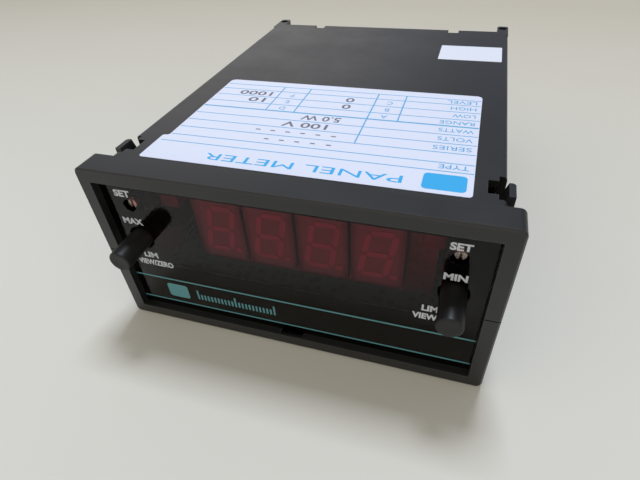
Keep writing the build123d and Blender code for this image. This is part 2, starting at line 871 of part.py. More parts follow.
converter_place = (converter_chip_x, converter_chip_y, main_board_top)
save("converter_chip", chip(*converter_place, converter_chip_width, converter_chip_lead_count))
logic_place = (logic_chip_x, logic_chip_y, main_board_top)
save("logic_chip", chip(*logic_place, small_chip_width, logic_chip_lead_count))
comparator_place = (comparator_chip_x, comparator_chip_y, alarm_board_top)
save("comparator_chip", chip(*comparator_place, small_chip_width, comparator_chip_lead_count))
for i in range(relay_count):
    x = first_relay_x - i * (relay_width + relay_gap)
    save(f"alarm_relay_{i + 1}", relay(x))
save("display_link", display_link())
save("alarm_link", alarm_link())

for name, ways, x, z_range in (
    ("signal", signal_way_count, 0, signal_header_z),
    ("relay", relay_way_count, relay_terminal_x, relay_header_z),
):
    save(f"{name}_header", terminal_header(ways, x, z_range))
    save(f"{name}_plug", terminal_plug(ways, x, z_range))
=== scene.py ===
"""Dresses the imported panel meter: moulded case, tinted window with its prints, push buttons, label and rear plugs."""
import json
import logging
from dataclasses import dataclass
from enum import Enum
from math import pi, radians
from typing import Callable, Iterable, Sequence

import bpy
from bpy.types import Material, Node, NodeSocket, NodeTree, Object
from mathutils import Matrix, Vector

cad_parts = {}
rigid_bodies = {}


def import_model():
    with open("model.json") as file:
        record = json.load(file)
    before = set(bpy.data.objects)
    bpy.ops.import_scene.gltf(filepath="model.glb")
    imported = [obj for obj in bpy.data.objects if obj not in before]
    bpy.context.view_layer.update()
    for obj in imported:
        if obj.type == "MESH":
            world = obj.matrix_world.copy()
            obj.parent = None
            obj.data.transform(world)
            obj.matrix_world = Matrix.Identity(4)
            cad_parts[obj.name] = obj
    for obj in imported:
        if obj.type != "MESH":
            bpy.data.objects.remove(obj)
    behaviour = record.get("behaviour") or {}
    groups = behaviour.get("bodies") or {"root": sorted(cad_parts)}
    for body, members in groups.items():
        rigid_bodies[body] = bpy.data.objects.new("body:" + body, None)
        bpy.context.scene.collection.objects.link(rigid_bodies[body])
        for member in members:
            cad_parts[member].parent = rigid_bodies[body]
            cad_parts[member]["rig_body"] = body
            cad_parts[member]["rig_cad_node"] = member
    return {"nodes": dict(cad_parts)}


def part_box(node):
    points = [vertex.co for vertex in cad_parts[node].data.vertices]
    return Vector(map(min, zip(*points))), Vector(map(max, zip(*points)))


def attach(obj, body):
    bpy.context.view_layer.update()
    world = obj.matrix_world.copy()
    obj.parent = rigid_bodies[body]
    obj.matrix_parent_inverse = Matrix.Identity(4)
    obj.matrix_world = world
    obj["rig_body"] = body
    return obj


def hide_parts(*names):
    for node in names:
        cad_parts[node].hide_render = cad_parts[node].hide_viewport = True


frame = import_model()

LOG = logging.getLogger("panel_meter")
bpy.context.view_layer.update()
MM = 0.001
# Places are given in mm from the middle of the bezel's lower front edge: x to the right, y to the rear, z up.
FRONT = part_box("window")[0].y / MM - 2.0
WINDOW_FACE = 2.0
CASE_TOP = 46.5
# How thick a print lies, and how high a capital letter stands in text of size 1.
INK = 0.02
CAPITAL = 0.73

Point = Sequence[float]
Source = Node | NodeSocket
Test = Callable[[Vector, Vector], bool]


class Facing(Enum):
    """The side of the object that a flat print or a row of letters looks to, as turns about x, y and z."""

    FRONT = (90.0, 0.0, 0.0)
    REAR = (90.0, 0.0, 180.0)
    TOP = (0.0, 0.0, 180.0)
    LEFT = (90.0, 0.0, -90.0)
    RIGHT = (90.0, 0.0, 90.0)

    def turn(self) -> Matrix:
        """Returns the turn that lays a flat shape on this side."""
        x, y, z = (radians(angle) for angle in self.value)
        return Matrix.Rotation(z, 3, "Z") @ Matrix.Rotation(y, 3, "Y") @ Matrix.Rotation(x, 3, "X")


# ---------------------------------------------------------------- modelling


def place(x: float, y: float, z: float) -> Vector:
    """Returns a point in metres in the shared frame.

    Args:
        x: millimetres to the right of the middle.
        y: millimetres behind the bezel's front.
        z: millimetres above the base.

    Returns:
        The point as a vector.
    """
    return Vector((x, FRONT + y, z)) * MM


def deselect() -> None:
    """Leaves edit mode and clears the selection."""
    if bpy.context.object is not None and bpy.context.object.mode != "OBJECT":
        bpy.ops.object.mode_set(mode="OBJECT")
    bpy.ops.object.select_all(action="DESELECT")


def work_on(piece: Object) -> None:
    """Makes one piece the only selected and active object."""
    deselect()
    piece.hide_viewport = False
    piece.select_set(True)
    bpy.context.view_layer.objects.active = piece


def named(name: str) -> Object:
    """Gives the active object and its mesh a name, and returns the object."""
    piece = bpy.context.active_object
    piece.name = piece.data.name = name
    return piece


def choose(piece: Object, kind: str, test: Test) -> None:
    """Opens a piece in edit mode with the parts that pass a test selected.

    Args:
        piece: the piece to edit.
        kind: "VERT", "EDGE" or "FACE".
        test: takes a part's middle in millimetres from the bezel's front, and its normal or direction.
    """
    work_on(piece)
    mesh = piece.data
    bpy.context.tool_settings.mesh_select_mode = (kind == "VERT", kind == "EDGE", kind == "FACE")
    for parts in (mesh.vertices, mesh.edges, mesh.polygons):
        parts.foreach_set("select", [False] * len(parts))
    origin = place(0, 0, 0)
    for part in {"VERT": mesh.vertices, "EDGE": mesh.edges, "FACE": mesh.polygons}[kind]:
        if kind == "FACE":
            middle, normal = part.center, part.normal
        elif kind == "EDGE":
            first, last = (mesh.vertices[i].co for i in part.vertices)
            middle, normal = (first + last) / 2, (last - first).normalized()
        else:
            middle, normal = part.co, part.normal
        part.select = test((middle - origin) / MM, normal)
    bpy.ops.object.mode_set(mode="EDIT")


def freeze(piece: Object) -> Object:
    """Writes a piece's place, turn and scale into its mesh."""
    work_on(piece)
    bpy.ops.object.transform_apply(location=True, rotation=True, scale=True)
    return piece


def with_modifier(piece: Object, kind: str, **settings: object) -> Object:
    """Adds one modifier to a piece and applies it.

    Args:
        piece: the piece to change.
        kind: the modifier's type.
        **settings: the modifier's own fields.

    Returns:
        The same piece.
    """
    work_on(piece)
    modifier = piece.modifiers.new(kind.lower(), kind)
    for key, value in settings.items():
        setattr(modifier, key, value)
    bpy.ops.object.modifier_apply(modifier=modifier.name)
    return piece


def smooth(piece: Object, angle: float = 32.0) -> Object:
    """Shades a piece smooth, with sharp edges above an angle in degrees."""
    work_on(piece)
    bpy.ops.object.shade_smooth_by_angle(angle=radians(angle))
    return piece


def rounded(piece: Object, radius: float, angle: float = 35.0, segments: int = 2) -> Object:
    """Rounds a piece's sharp edges, as a mould or a tumbled part has them.

    Args:
        piece: the piece to round.
        radius: millimetres.
        angle: edges sharper than this many degrees are rounded.
        segments: the steps in the rounding.

    Returns:
        The same piece, shaded.
    """
    with_modifier(piece, "BEVEL", width=radius * MM, segments=segments, limit_method="ANGLE",
                  angle_limit=radians(angle), use_clamp_overlap=True)
    smooth(piece, 40.0)
    return with_modifier(piece, "WEIGHTED_NORMAL", keep_sharp=True, weight=80)


def merged_copy(node: str, name: str, flatten: bool = True) -> Object:
    """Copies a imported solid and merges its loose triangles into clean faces.

    Args:
        node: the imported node's name.
        name: the copy's name.
        flatten: whether coplanar triangles become one face.

    Returns:
        The copy, free of any body.
    """
    work_on(frame["nodes"][node])
    bpy.ops.object.duplicate(linked=False)
    piece = named(name)
    piece.parent = None
    piece.hide_render = False
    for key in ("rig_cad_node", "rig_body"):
        if key in piece:
            del piece[key]
    bpy.ops.object.mode_set(mode="EDIT")
    bpy.ops.mesh.select_all(action="SELECT")
    bpy.ops.mesh.remove_doubles(threshold=0.002 * MM)
    if flatten:
        bpy.ops.mesh.dissolve_limited(angle_limit=radians(1.0))
    bpy.ops.mesh.customdata_custom_splitnormals_clear()
    deselect()
    return piece


def thickened(piece: Object, way: Point) -> Object:
    """Extrudes the flat shape that is open in edit mode into a closed body.

    Args:
        piece: the piece that is being edited.
        way: the extrusion in metres.

    Returns:
        The same piece, out of edit mode.
    """
    bpy.ops.mesh.select_all(action="SELECT")
    bpy.ops.mesh.extrude_region_move(TRANSFORM_OT_translate={"value": way})
    bpy.ops.mesh.select_all(action="SELECT")
    bpy.ops.mesh.normals_make_consistent(inside=False)
    deselect()
    return piece


def film(name: str, low: tuple[float, float], high: tuple[float, float], level: float, thickness: float,
         facing: Facing, radius: float = 0.1, steps: int = 2) -> Object:
    """Makes a thin printed or stuck-on film with rounded corners.

    Args:
        name: the piece's name.
        low: its lowest corner along the side's two directions, in millimetres (x and z, or x and y on top).
        high: its highest corner.
        level: the millimetre level of the face that carries it.
        thickness: millimetres.
        facing: the side that it looks to.
        radius: the corners' radius in millimetres.
        steps: the steps in each corner.

    Returns:
        The film.
    """
    deselect()
    across, up = (low[0] + high[0]) / 2, (low[1] + high[1]) / 2
    middle = place(across, level, up)
    if facing is Facing.TOP:
        middle = place(across, up, level)
    elif facing in (Facing.LEFT, Facing.RIGHT):
        middle = place(level, across, up)
    bpy.ops.mesh.primitive_plane_add(size=MM, location=middle, rotation=facing.turn().to_euler(), scale=(1, 1, 1))
    piece = named(name)
    piece.scale = (high[0] - low[0], high[1] - low[1], 1)
    freeze(piece)
    normal = facing.turn() @ Vector((0, 0, 1))
    bpy.ops.object.mode_set(mode="EDIT")
    bpy.ops.mesh.select_all(action="SELECT")
    bpy.ops.mesh.bevel(offset=radius * MM, segments=steps, affect="VERTICES")
    return thickened(piece, normal * thickness * MM)


def turned(name: str, centre: Point, axis: Point, profile: Sequence[tuple[float, float]], sides: int = 48) -> Object:
    """Makes a round piece from a disc that is extruded and scaled from ring to ring.

    Args:
        name: the piece's name.
        centre: the point on its axis from which the profile is measured, in millimetres.
        axis: the direction of its axis.
        profile: pairs of the distance along the axis and the radius there, in millimetres.
        sides: the number of faces round it.

    Returns:
        The closed piece.
    """
    deselect()
    along = Vector(axis).normalized()
    start, radius = profile[0]
    ring = place(*centre) + along * start * MM
    bpy.ops.mesh.primitive_circle_add(vertices=sides, radius=radius * MM, fill_type="NGON", location=ring,
                                      rotation=along.to_track_quat("Z", "Y").to_euler())
    piece = freeze(named(name))
    bpy.ops.object.mode_set(mode="EDIT")
    bpy.ops.mesh.select_all(action="SELECT")
    for step, size in profile[1:]:
        bpy.ops.mesh.extrude_region_move(TRANSFORM_OT_translate={"value": along * (step - start) * MM})
        start, ring = step, place(*centre) + along * step * MM
        bpy.ops.transform.resize(value=(size / radius,) * 3, center_override=ring)
        radius = size
    bpy.ops.mesh.select_all(action="SELECT")
    bpy.ops.mesh.remove_doubles(threshold=0.001 * MM)
    bpy.ops.mesh.normals_make_consistent(inside=False)
    deselect()
    return piece


def sunk_slot(piece: Object, centre: Point, size: tuple[float, float, float], axis: Point, across: Point) -> Object:
    """Sinks a driver slot in the end face of a round piece.

    Args:
        piece: the piece with the face.
        centre: the middle of the face in millimetres.
        size: the slot's length, width and depth in millimetres.
        axis: the face's outward direction.
        across: the direction of the slot's width.

    Returns:
        The same piece.
    """
    out, side = Vector(axis), Vector(across)
    lengthwise = out.cross(side)
    for direction, reach in ((side, size[1] / 2), (lengthwise, size[0] / 2)):
        for sign in (-1, 1):
            choose(piece, "FACE", lambda at, to: to.dot(out) > 0.99 and abs((at - Vector(centre)).dot(out)) < 0.02)
            bpy.ops.mesh.bisect(plane_co=place(*centre) + direction * sign * reach * MM, plane_no=direction)
    choose(piece, "FACE", lambda at, to: to.dot(out) > 0.99
           and abs((at - Vector(centre)).dot(out)) < 0.02
           and abs((at - Vector(centre)).dot(side)) < size[1] / 2
           and abs((at - Vector(centre)).dot(lengthwise)) < size[0] / 2)
    bpy.ops.mesh.extrude_region_move(TRANSFORM_OT_translate={"value": -out * size[2] * MM})
    deselect()
    return piece


def moved_copy(piece: Object, name: str, offset: Point) -> Object:
    """Copies a piece with its own mesh to a place some millimetres away.

    Args:
        piece: the piece to copy.
        name: the copy's name.
        offset: the move in millimetres.

    Returns:
        The copy.
    """
    work_on(piece)
    bpy.ops.object.duplicate_move(TRANSFORM_OT_translate={"value": Vector(offset) * MM})
    return freeze(named(name))


def joined(name: str, pieces: Iterable[Object]) -> Object:
    """Joins pieces into one.

    Args:
        name: the joined piece's name.
        pieces: the pieces, of which the first stays.

    Returns:
        The joined piece.
    """
    several = list(pieces)
    work_on(several[0])
    for piece in several[1:]:
        piece.select_set(True)
    if len(several) > 1:
        bpy.ops.object.join()
    return named(name)


def lettering(name: str, rows: Iterable[tuple[str, Point, float | None]], facing: Facing, height: float,
              weight: float = 0.03) -> Object:
    """Makes raised print from short plain words or numbers.

    Args:
        name: the piece's name.
        rows: each word with its middle in millimetres and its width, or None for the width that its height gives.
        facing: the side that the print looks to.
        height: the letters' height in millimetres.
        weight: how far the strokes are thickened, as a share of the height.

    Returns:
        The print as one mesh.
    """
    words = []
    for text, middle, width in rows:
        deselect()
        bpy.ops.object.text_add()
        letters = bpy.context.active_object.data
        letters.body = text
        letters.size = 1.0
        letters.offset = weight * 0.7
        letters.resolution_u = 3
        letters.extrude = INK / 2
        bpy.ops.object.convert(target="MESH")
        bpy.ops.object.origin_set(type="ORIGIN_GEOMETRY", center="BOUNDS")
        word = bpy.context.active_object
        tall = height / CAPITAL * MM
        wide = tall if width is None else width * MM / max(word.dimensions.x, 1e-6)
        word.scale = (wide, tall, MM)
        word.location = place(*middle)
        word.rotation_euler = facing.turn().to_euler()
        words.append(freeze(word))
    return joined(name, words)


# ---------------------------------------------------------------- materials


def linear(code: str, share: float = 1.0) -> tuple[float, float, float, float]:
    """Turns an sRGB hex colour into a linear colour with full alpha, at a share of its light."""
    parts = [int(code[i:i + 2], 16) / 255 for i in (1, 3, 5)]
    red, green, blue = (share * (c / 12.92 if c <= 0.04045 else ((c + 0.055) / 1.055) ** 2.4) for c in parts)
    return red, green, blue, 1.0


def add_node(tree: NodeTree, kind: str, settings: dict | None = None, links: dict | None = None) -> Node:
    """Adds one node with its settings and what feeds it.

    Args:
        tree: the node tree.
        kind: the node's type without its common start.
        settings: fields and unlinked sockets by name or number.
        links: sockets by name or number, each with the output or the node that feeds it. A node gives its first
            output that is in use.

    Returns:
        The node.
    """
    node = tree.nodes.new("ShaderNode" + kind)
    for key, value in (settings or {}).items():
        if isinstance(key, str) and hasattr(node, key):
            setattr(node, key, value)
        else:
            node.inputs[key].default_value = value
    for key, source in (links or {}).items():
        output = next(o for o in source.outputs if o.enabled) if isinstance(source, Node) else source
        tree.links.new(output, node.inputs[key])
    return node


def edge_mask(tree: NodeTree, radius: float) -> Node:
    """Returns 1 along sharp edges and 0 on flats.

    Args:
        tree: the node tree.
        radius: how far from an edge the mask reaches, in millimetres.

    Returns:
        The mask's node.
    """
    soft = add_node(tree, "Bevel", {"samples": 6, "Radius": radius * MM})
    flat = add_node(tree, "NewGeometry").outputs["Normal"]
    match = add_node(tree, "VectorMath", {"operation": "DOT_PRODUCT"}, {0: soft, 1: flat})
    return add_node(tree, "MapRange", {"From Min": 0.995, "From Max": 0.85}, {"Value": match})


@dataclass(frozen=True)
class Finish:
    """A material named for the real stuff and how its surface was made.

    Fields: name, and colour as sRGB hex.
    """

    name: str
    colour: str

    def material(self) -> Material:
        """Returns the material, which is made at its first use."""
        return bpy.data.materials.get(self.name) or self.make()

    def make(self) -> Material:
        """Makes the node tree and returns the material."""
        made = bpy.data.materials.new(self.name)
        made.use_nodes = True
        made.node_tree.nodes.clear()
        where = add_node(made.node_tree, "TexCoord").outputs["Object"]
        add_node(made.node_tree, "OutputMaterial", links={"Surface": self.dress(made.node_tree, where)})
        return made

    def dress(self, tree: NodeTree, where: NodeSocket) -> Node:
        """Builds the shader.

        Args:
            tree: the node tree.
            where: the Object coordinates.

        Returns:
            The shader's node.
        """
        raise NotImplementedError

    def mottled(self, tree: NodeTree, where: NodeSocket, grain: tuple[float, float], low: Point,
                high: Point) -> tuple[Node, Node]:
        """Mixes two colours by a soft noise.

        Args:
            tree: the node tree.
            where: the Object coordinates.
            grain: the noise's size in millimetres and its detail.
            low: the colour where the noise is weak.
            high: the colour where it is strong.

        Returns:
            The node with the mixed colour, and the noise's node.
        """
        noise = add_node(tree, "TexNoise", {"Scale": 1 / (grain[0] * MM), "Detail": grain[1]}, {"Vector": where})
        return add_node(tree, "Mix", {"data_type": "RGBA", 6: low, 7: high}, {0: noise}), noise

    def two_toned(self, tree: NodeTree, share: Source, other: str, first: str | None = None) -> Node:
        """Mixes the finish's own colour with another by a share.

        Args:
            tree: the node tree.
            share: the other colour's share.
            other: the other colour as sRGB hex.
            first: the colour at no share, where it isn't the finish's own.

        Returns:
            The node with the mixed colour.
        """
        low = linear(first or self.colour)
        return add_node(tree, "Mix", {"data_type": "RGBA", 6: low, 7: linear(other)}, {0: share})

    def embossed(self, tree: NodeTree, height: Source, relief: tuple[float, float], settings: dict,
                 links: dict) -> Node:
        """Ends a shader whose surface has a fine relief.

        Args:
            tree: the node tree.
            height: the relief.
            relief: its strength, and its height in millimetres.
            settings: the shader's own values.
            links: what feeds the shader besides the relief.

        Returns:
            The shader's node.
        """
        bump = add_node(tree, "Bump", {"Strength": relief[0], "Distance": relief[1] * MM}, {"Height": height})
        return add_node(tree, "BsdfPrincipled", settings, {**links, "Normal": bump})


@dataclass(frozen=True)
class MouldedPlastic(Finish):
    """A moulded plastic with the grain of its mould, faint clouding, a painted highlight along its sharp edges, and
    dust.

    Fields: pale is the colour of the painted highlight along its edges, roughness the flats' value, grain and cloud are
    sizes in mm, relief is the grain's height in mm, dust is the share of specks, edge is how strongly that highlight is
    painted, and ior.
    """

    pale: str = "#4a4a4c"
    roughness: float = 0.42
    grain: float = 0.5
    cloud: float = 14.0
    relief: float = 0.006
    dust: float = 0.0
    edge: float = 0.5
    ior: float = 1.52

    def dress(self, tree: NodeTree, where: NodeSocket) -> Node:
        """Builds the shader; see Finish.dress for Args and Returns."""
        cloud, grain = (add_node(tree, "TexNoise", {"Scale": 1 / (size * MM), "Detail": detail, "Roughness": rough},
                                 {"Vector": where})
                        for size, detail, rough in ((self.cloud, 5.0, 0.62), (self.grain, 2.0, 0.7)))
        clouded = add_node(tree, "Mix", {"data_type": "RGBA", 6: linear(self.colour, 0.82),
                                         7: linear(self.colour, 1.18)}, {0: cloud})
        # Paler colour along sharp edges: a painted highlight.
        painted_edge_highlight = add_node(tree, "Math", {"operation": "MULTIPLY", 1: self.edge}, {0: edge_mask(tree, 0.35)})
        colour = add_node(tree, "Mix", {"data_type": "RGBA", 7: linear(self.pale)}, {0: painted_edge_highlight, 6: clouded})
        if self.dust:
            specks = add_node(tree, "TexVoronoi", {"Scale": 1 / (2.4 * MM), "Randomness": 1.0}, {"Vector": where})
            near = add_node(tree, "MapRange", {"From Min": 0.045, "From Max": 0.02}, {"Value": specks})
            few = add_node(tree, "Math", {"operation": "LESS_THAN", 1: self.dust}, {0: specks.outputs["Color"]})
            dusty = add_node(tree, "Math", {"operation": "MULTIPLY"}, {0: near, 1: few})
            colour = add_node(tree, "Mix", {"data_type": "RGBA", 7: linear("#a9a59c")}, {0: dusty, 6: colour})
        gloss = add_node(tree, "MapRange", {"From Min": 0.3, "From Max": 0.7, "To Min": self.roughness + 0.05,
                                            "To Max": self.roughness - 0.04}, {"Value": cloud})
        return self.embossed(tree, grain, (0.6, self.relief), {"IOR": self.ior},
                             {"Base Color": colour, "Roughness": gloss})


@dataclass(frozen=True)
class FilterAcrylic(Finish):
    """A dyed acrylic sheet, whose outer skin mirrors the room and whose body lets red light through.

    Fields: mirrors says whether this is the outer skin, smear is the size of its finger marks in mm, and ior that of
    its skin, which is lower than clear sheet's because a hard anti-glare coat dulls it.
    """

    mirrors: bool = True
    smear: float = 9.0
    ior: float = 1.32

    def dress(self, tree: NodeTree, where: NodeSocket) -> Node:
        """Builds the shader; see Finish.dress for Args and Returns."""
        tint, smear = self.mottled(tree, where, (self.smear, 3.0), linear(self.colour, 0.97), linear(self.colour))
        through = add_node(tree, "BsdfTransparent", links={"Color": tint})
        if not self.mirrors:
            return through
        rough = add_node(tree, "MapRange", {"From Min": 0.35, "From Max": 0.65, "To Min": 0.05, "To Max": 0.1},
                         {"Value": smear})
        mirror = add_node(tree, "BsdfGlossy", {"Color": (1.0, 1.0, 1.0, 1.0)}, {"Roughness": rough})
        share = add_node(tree, "Fresnel", {"IOR": self.ior})
        return add_node(tree, "MixShader", links={0: share, 1: through, 2: mirror})


@dataclass(frozen=True)
class PrintedInk(Finish):
    """A screen-printed ink film, a little uneven in its cover.

    Fields: roughness, cover is how far the colour falls in thin places, and sheen is 0 for ink that lies wet against
    its sheet, with no air between to mirror anything.
    """

    roughness: float = 0.45
    cover: float = 0.12
    sheen: float = 0.5

    def dress(self, tree: NodeTree, where: NodeSocket) -> Node:
        """Builds the shader; see Finish.dress for Args and Returns."""
        thinned = linear(self.colour, 1 - 2 * self.cover)
        tone, thin = self.mottled(tree, where, (0.8, 3.0), thinned, linear(self.colour))
        return self.embossed(tree, thin, (0.3, 0.004), {"Roughness": self.roughness, "IOR": 1.48,
                                                        "Specular IOR Level": self.sheen}, {"Base Color": tone})


@dataclass(frozen=True)
class PaperFloor(Finish):
    """A plain matt paper floor with painted shade that makes it a little darker and warmer far behind.

    Fields: far is the painted shade's colour far behind the object.
    """

    far: str

    def dress(self, tree: NodeTree, where: NodeSocket) -> Node:
        """Builds the shader; see Finish.dress for Args and Returns."""
        split = add_node(tree, "SeparateXYZ", links={0: where})
        # Darker and warmer toward the rear: painted shade.
        away = add_node(tree, "MapRange", {"From Min": -0.05, "From Max": 0.3}, {"Value": split.outputs["Y"]})
        pulp = add_node(tree, "TexNoise", {"Scale": 1 / (30.0 * MM), "Detail": 3.0}, {"Vector": where})
        share = add_node(tree, "Math", {"operation": "MULTIPLY_ADD", 1: 0.06}, {0: pulp, 2: away})
        return add_node(tree, "BsdfPrincipled", {"Roughness": 0.85, "IOR": 1.45},
                        {"Base Color": self.two_toned(tree, share, self.far)})


@dataclass(frozen=True)
class LabelFilm(Finish):
    """A white vinyl label with a satin face, faint fibre mottling and slight waviness from its glue."""

    def dress(self, tree: NodeTree, where: NodeSocket) -> Node:
        """Builds the shader; see Finish.dress for Args and Returns."""
        fibre, _ = self.mottled(tree, where, (1.2, 4.0), linear(self.colour, 0.95), linear(self.colour))
        wave = add_node(tree, "TexNoise", {"Scale": 1 / (12.0 * MM), "Detail": 1.0}, {"Vector": where})
        return self.embossed(tree, wave, (0.4, 0.03), {"Roughness": 0.38, "IOR": 1.47}, {"Base Color": fibre})


@dataclass(frozen=True)
class WorkedMetal(Finish):
    """A bare or plated metal with fine tool lines.

    Fields: roughness, lines is the spacing of the tool lines in mm, stretch is how much longer they are than wide
    along x, y and z, and stain is the colour of its dull patches.
    """

    roughness: float = 0.3
    lines: float = 0.15
    stretch: tuple[float, float, float] = (1.0, 1.0, 8.0)
    stain: str = "#6a6258"

    def dress(self, tree: NodeTree, where: NodeSocket) -> Node:
        """Builds the shader; see Finish.dress for Args and Returns."""
        drawn = add_node(tree, "Mapping", {"Scale": tuple(1 / s for s in self.stretch)}, {"Vector": where})
        lines = add_node(tree, "TexNoise", {"Scale": 1 / (self.lines * MM), "Detail": 3.0}, {"Vector": drawn})
        patch = add_node(tree, "TexNoise", {"Scale": 1 / (3.0 * MM), "Detail": 3.0}, {"Vector": where})
        dull = add_node(tree, "MapRange", {"From Min": 0.55, "From Max": 0.8, "To Max": 0.5}, {"Value": patch})
        rough = add_node(tree, "MapRange", {"To Min": self.roughness - 0.06, "To Max": self.roughness + 0.12},
                         {"Value": lines})
        return self.embossed(tree, lines, (0.5, 0.005), {"Metallic": 1.0},
                             {"Base Color": self.two_toned(tree, dull, self.stain), "Roughness": rough})


@dataclass(frozen=True)
class MaskedBoard(Finish):
    """A glass-epoxy circuit board under solder mask, with tracks that show through as paler bands.

    Fields: track is the colour over copper, and pitch the tracks' spacing in mm.
    """

    track: str = "#2f7a4a"
    pitch: float = 2.54

    def dress(self, tree: NodeTree, where: NodeSocket) -> Node:
        """Builds the shader; see Finish.dress for Args and Returns."""
        cells = add_node(tree, "TexVoronoi", {"distance": "CHEBYCHEV", "feature": "F1", "Randomness": 0.55,
                                              "Scale": 1 / (self.pitch * MM)}, {"Vector": where})
        copper = add_node(tree, "MapRange", {"From Min": 0.30, "From Max": 0.34}, {"Value": cells})
        return self.embossed(tree, copper, (0.5, 0.035), {"Roughness": 0.35, "IOR": 1.55},
                             {"Base Color": self.two_toned(tree, copper, self.track)})


@dataclass(frozen=True)
class ModulePaint(Finish):
    """The painted face of a row of figure modules, with a painted glow round its segments and painted shade toward each
    module's sides.

    Fields: side is the colour at the sides, where the shade is painted, first the middle of one module and pitch the
    modules' spacing in mm.
    """

    side: str
    first: float = -20.1
    pitch: float = 13.4

    def dress(self, tree: NodeTree, where: NodeSocket) -> Node:
        """Builds the shader; see Finish.dress for Args and Returns."""
        split = add_node(tree, "SeparateXYZ", links={0: where})
        moved = add_node(tree, "Math", {"operation": "SUBTRACT", 1: self.first * MM}, {0: split.outputs["X"]})
        away = add_node(tree, "Math", {"operation": "PINGPONG", 1: self.pitch / 2 * MM}, {0: moved})
        # Paler in each module's middle round its segments, darker toward its sides: a painted glow and painted shade.
        edge = add_node(tree, "MapRange", {"interpolation_type": "SMOOTHSTEP", "From Min": 4.2 * MM,
                                           "From Max": self.pitch / 2 * MM}, {"Value": away})
        paint = add_node(tree, "TexNoise", {"Scale": 1 / (1.0 * MM), "Detail": 2.0}, {"Vector": where})
        share = add_node(tree, "Math", {"operation": "MULTIPLY_ADD", 1: 0.12}, {0: paint, 2: edge})
        return add_node(tree, "BsdfPrincipled", {"Roughness": 0.6},
                        {"Base Color": self.two_toned(tree, share, self.side)})


@dataclass(frozen=True)
class DyedEpoxy(Finish):
    """A milky dyed epoxy that fills lamps and figure segments, brighter where it is thick.

    Fields: deep is the colour where the filler is dense, and roughness the moulded face's value.
    """

    deep: str
    roughness: float = 0.4

    def dress(self, tree: NodeTree, where: NodeSocket) -> Node:
        """Builds the shader; see Finish.dress for Args and Returns."""
        tone, _ = self.mottled(tree, where, (1.5, 3.0), linear(self.colour), linear(self.deep))
        return add_node(tree, "BsdfPrincipled", {"Roughness": self.roughness, "IOR": 1.54, "Subsurface Weight": 0.2,
                                                 "Subsurface Radius": (0.6 * MM, 0.15 * MM, 0.15 * MM)},
                        {"Base Color": tone})


@dataclass(frozen=True)
class Layered(Finish):
    """Stuff built of layers that show as lines: varnished iron laminations, or turns of winding tape.

    Fields: line is the colour between layers, layer their thickness in mm, axis the direction across them,
    metallic and roughness.
    """

    line: str = "#2a2622"
    layer: float = 0.5
    axis: str = "Y"
    metallic: float = 0.0
    roughness: float = 0.5

    def dress(self, tree: NodeTree, where: NodeSocket) -> Node:
        """Builds the shader; see Finish.dress for Args and Returns."""
        # One band of the wave texture is a twentieth of a turn of its scale, so the scale follows the layer.
        bands = add_node(tree, "TexWave", {"bands_direction": self.axis, "Scale": pi / 10 / (self.layer * MM),
                                           "Distortion": 0.6, "Detail": 1.0}, {"Vector": where})
        sharp = add_node(tree, "MapRange", {"From Min": 0.15, "From Max": 0.4}, {"Value": bands.outputs["Fac"]})
        return self.embossed(tree, sharp, (0.6, 0.04), {"Metallic": self.metallic, "Roughness": self.roughness},
                             {"Base Color": self.two_toned(tree, sharp, self.colour, first=self.line)})


@dataclass(frozen=True)
class EndCapped(Finish):
    """A body whose ends are another stuff than its middle: a sleeved can with a bare top, or a capped glass fuse.

    Fields: cap is the ends' colour, axis 0, 1 or 2 for x, y or z, start and stop the millimetre levels between
    which the middle lies, measured as places are, and roughness the middle's value.
    """

    cap: str = "#c9c9c6"
    axis: int = 2
    start: float = 0.0
    stop: float = 1.0
    roughness: float = 0.3

    def dress(self, tree: NodeTree, where: NodeSocket) -> Node:
        """Builds the shader; see Finish.dress for Args and Returns."""
        low, high = (place(*[level] * 3)[self.axis] for level in (self.start, self.stop))
        along = add_node(tree, "SeparateXYZ", links={0: where}).outputs[self.axis]
        above = add_node(tree, "Math", {"operation": "GREATER_THAN", 1: high}, {0: along})
        below = add_node(tree, "Math", {"operation": "LESS_THAN", 1: low}, {0: along})
        ends = add_node(tree, "Math", {"operation": "ADD", "use_clamp": True}, {0: above, 1: below})
        cloud = add_node(tree, "TexNoise", {"Scale": 1 / (2.0 * MM), "Detail": 3.0}, {"Vector": where})
        rough = add_node(tree, "MapRange", {"To Min": self.roughness - 0.05, "To Max": self.roughness + 0.1},
                         {"Value": cloud})
        return add_node(tree, "BsdfPrincipled", {"IOR": 1.5}, {"Base Color": self.two_toned(tree, ends, self.cap),
                                                               "Metallic": ends, "Roughness": rough})


# Black ABS from a spark-eroded mould: a satin skin with a barely seen grain, and a painted highlight along its edges.
# The real grain is about 0.05 mm and is drawn at 0.5 mm, as coarse as it needs to show.
CASE_ABS = MouldedPlastic("moulded_abs_black", "#1c1c1d", roughness=0.35, dust=0.035)
# Black glass-filled nylon of the rear cover: duller, with a rougher skin and a fainter painted highlight along its
# edges.
COVER_NYLON = MouldedPlastic("moulded_nylon_black", "#262626", roughness=0.55, grain=0.7, relief=0.012, edge=0.3)
# Dyed acrylic, cast and cut: the outer skin mirrors the room, the cut edges and the back only tint. Light passes
# four faces on its way in and out again, so each holds a quarter of the dye's depth.
WINDOW_SKIN = FilterAcrylic("cast_acrylic_red_outer", "#eabfc6")
WINDOW_BACK = FilterAcrylic("cast_acrylic_red_inner", "#eabfc6", mirrors=False)
# Opaque black screen ink on the window's back: it shows only as depthless black under the gloss.
MASK_INK = PrintedInk("screened_ink_black", "#0a0a0a", roughness=0.8, sheen=0.0)
# Teal and white screen inks on the window's face: matt films that stay dull beside the gloss.
TEAL_INK = PrintedInk("screened_ink_teal", "#5f9ea6", roughness=0.5)
WHITE_INK = PrintedInk("screened_ink_white", "#d5dae2", roughness=0.5)
